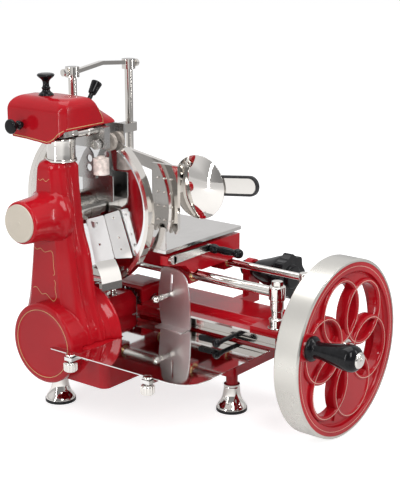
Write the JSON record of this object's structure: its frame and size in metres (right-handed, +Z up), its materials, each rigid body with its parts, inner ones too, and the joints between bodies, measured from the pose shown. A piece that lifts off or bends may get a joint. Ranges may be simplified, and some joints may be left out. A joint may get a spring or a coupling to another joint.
{
  "type": "hand crank meat slicer",
  "caption": "Hand-cranked counter slicer: a flywheel turns a round blade past a sliding carriage with a clamped food table, under a hooded sharpener.",
  "frame": {"origin": "middle of the machine's outline, on the surface that it stands on", "axes": "+X along the blade's shaft from the gear column to the food table, +Y from the flywheel towards the back, +Z up"},
  "size_m": [0.478, 0.7208, 0.593],
  "materials": {
    "red_enamel": "gloss enamel on cast iron",
    "polished_nickel": "polished nickel plate",
    "ground_steel": "ground steel",
    "blade_steel": "turned and polished",
    "polished_aluminium": "polished",
    "pale_disc": "satin cream enamel",
    "bronze": "machined bronze",
    "black_knob": "moulded, high gloss",
    "black_rim": "satin",
    "grinding_stone": "gritty"
  },
  "bodies": {
    "frame": {"base_casting": "red_enamel", "foot_bells": "polished_nickel", "carriage_bed": "red_enamel", "shaft_bushes": "bronze", "bed_edge_rail": "polished_nickel", "transmission_covers": "red_enamel", "gear_column": "red_enamel", "column_cover": "red_enamel", "hub_housing": "red_enamel", "hub_end_disc": "pale_disc", "gear_cap": "red_enamel", "blade_bearing_housing": "polished_nickel", "blade_bearings": "bronze", "idler_pins": "ground_steel", "blade_guard_ring": "polished_nickel", "slice_deflector": "polished_nickel", "drip_tray": "polished_aluminium", "guide_plate": "polished_nickel", "slide_rods": "polished_nickel", "rod_posts": "polished_nickel", "sharpener_neck": "polished_nickel", "dial_housing": "polished_nickel"},
    "flywheel": {"flywheel_band": "polished_nickel", "flywheel_web": "red_enamel", "flywheel_shaft": "ground_steel", "flywheel_fittings": "polished_nickel", "mitre_pinion": "ground_steel"},
    "crank_grip": {"crank_grip": "black_knob"},
    "cross_shaft": {"cross_shaft": "ground_steel", "mitre_gear": "ground_steel", "drive_gear": "ground_steel"},
    "idler_1": {"idler_gear_1": "ground_steel"},
    "idler_2": {"idler_gear_2": "ground_steel"},
    "idler_3": {"idler_gear_3": "ground_steel"},
    "blade": {"blade": "blade_steel", "blade_shaft": "ground_steel", "blade_clamp_plates": "ground_steel", "blade_pinion": "ground_steel"},
    "carriage": {"carriage": "red_enamel", "carriage_bushes": "bronze"},
    "table": {"product_table": "polished_aluminium", "fence_posts": "polished_nickel", "fence_crossbar": "polished_nickel"},
    "gripper": {"gripper_arm": "polished_nickel", "gripper_jaw": "polished_nickel", "hand_guard": "polished_nickel", "paddle_rim": "black_rim"},
    "table_lever": {"table_lever": "polished_nickel", "table_lever_handle": "black_knob"},
    "sharpener": {"sharpener_head": "polished_nickel", "sharpener_hood": "red_enamel"},
    "hood_knob": {"hood_knob": "black_knob"},
    "side_knob": {"side_knob": "black_knob"},
    "cone_knob": {"cone_knob": "black_knob"},
    "grinding_stone": {"grinding_stone": "grinding_stone"},
    "deburring_stone": {"deburring_stone": "grinding_stone"},
    "star_knob": {"star_knob": "black_knob"},
    "index_lever": {"index_lever": "black_knob"},
    "tray_clamp_front": {"tray_thumbscrew_front": "polished_nickel"},
    "tray_clamp_rear": {"tray_thumbscrew_rear": "polished_nickel"}
  },
  "joints": [
    {"name": "flywheel_spin", "type": "hinge", "parent": "frame", "child": "flywheel", "pos_m": [0.06, -0.2426, 0.1555], "axis": [0, 1, 0], "continuous": true},
    {"name": "grip_spin", "type": "hinge", "parent": "flywheel", "child": "crank_grip", "pos_m": [-0.05667, -0.3116, 0.19117], "axis": [0, 1, 0], "continuous": true},
    {"name": "cross_shaft_spin", "type": "hinge", "parent": "frame", "child": "cross_shaft", "pos_m": [-0.06, 0.1884, 0.1555], "axis": [1, 0, 0], "continuous": true},
    {"name": "idler_1_spin", "type": "hinge", "parent": "frame", "child": "idler_1", "pos_m": [-0.157, 0.1884, 0.2335], "axis": [1, 0, 0], "continuous": true},
    {"name": "idler_2_spin", "type": "hinge", "parent": "frame", "child": "idler_2", "pos_m": [-0.157, 0.1884, 0.274], "axis": [1, 0, 0], "continuous": true},
    {"name": "idler_3_spin", "type": "hinge", "parent": "frame", "child": "idler_3", "pos_m": [-0.157, 0.1884, 0.313], "axis": [1, 0, 0], "continuous": true},
    {"name": "blade_spin", "type": "hinge", "parent": "frame", "child": "blade", "pos_m": [-0.06, 0.1884, 0.358], "axis": [1, 0, 0], "continuous": true},
    {"name": "carriage_slide", "type": "slide", "parent": "frame", "child": "carriage", "axis": [0, 1, 0], "range_m": [-0.13, 0.08]},
    {"name": "table_slide", "type": "slide", "parent": "carriage", "child": "table", "axis": [1, 0, 0], "range_m": [0, 0.05]},
    {"name": "gripper_slide", "type": "slide", "parent": "table", "child": "gripper", "axis": [0, 0, 1], "range_m": [-0.01, 0.05]},
    {"name": "table_lever_swing", "type": "hinge", "parent": "carriage", "child": "table_lever", "pos_m": [-0.038, 0.0304, 0.28], "axis": [0, -1, 0], "range_deg": [0, 18]},
    {"name": "sharpener_slide", "type": "slide", "parent": "frame", "child": "sharpener", "axis": [0, 0, 1], "range_m": [0, 0.03]},
    {"name": "hood_knob_turn", "type": "hinge", "parent": "sharpener", "child": "hood_knob", "pos_m": [-0.139, 0.2144, 0.563], "axis": [0, 0, 1], "range_deg": [0, 180]},
    {"name": "side_knob_turn", "type": "hinge", "parent": "sharpener", "child": "side_knob", "pos_m": [-0.19, 0.2404, 0.508], "axis": [1, 0, 0], "range_deg": [0, 180]},
    {"name": "cone_knob_press", "type": "slide", "parent": "sharpener", "child": "cone_knob", "axis": [-0.6139, 0, -0.7894], "range_m": [0, 0.005], "stiffness_N_per_m": 400},
    {"name": "grinding_stone_spin", "type": "hinge", "parent": "sharpener", "child": "grinding_stone", "pos_m": [-0.08, 0.1384, 0.475], "axis": [1, 0, 0], "continuous": true},
    {"name": "deburring_stone_spin", "type": "hinge", "parent": "sharpener", "child": "deburring_stone", "pos_m": [-0.045, 0.1384, 0.475], "axis": [1, 0, 0], "continuous": true},
    {"name": "thickness_turn", "type": "hinge", "parent": "frame", "child": "star_knob", "pos_m": [0.196, -0.0516, 0.211], "axis": [0, 1, 0], "range_deg": [0, 300]},
    {"name": "index_lever_swing", "type": "hinge", "parent": "frame", "child": "index_lever", "pos_m": [-0.02, -0.0736, 0.154], "axis": [1, 0, 0], "range_deg": [0, 60]},
    {"name": "tray_clamp_front_turn", "type": "hinge", "parent": "frame", "child": "tray_clamp_front", "pos_m": [-0.22, -0.0696, 0.138], "axis": [0, 0, 1], "range_deg": [0, 180]},
    {"name": "tray_clamp_rear_turn", "type": "hinge", "parent": "frame", "child": "tray_clamp_rear", "pos_m": [-0.22, 0.0974, 0.138], "axis": [0, 0, 1], "range_deg": [0, 180]}
  ],
  "couplings": [
    {"joint": "cross_shaft_spin", "follows": "flywheel_spin", "ratio": -1},
    {"joint": "idler_1_spin", "follows": "flywheel_spin", "ratio": 2.7143},
    {"joint": "idler_2_spin", "follows": "flywheel_spin", "ratio": -2.9231},
    {"joint": "idler_3_spin", "follows": "flywheel_spin", "ratio": 2.9231},
    {"joint": "blade_spin", "follows": "flywheel_spin", "ratio": -2.2353}
  ]
}
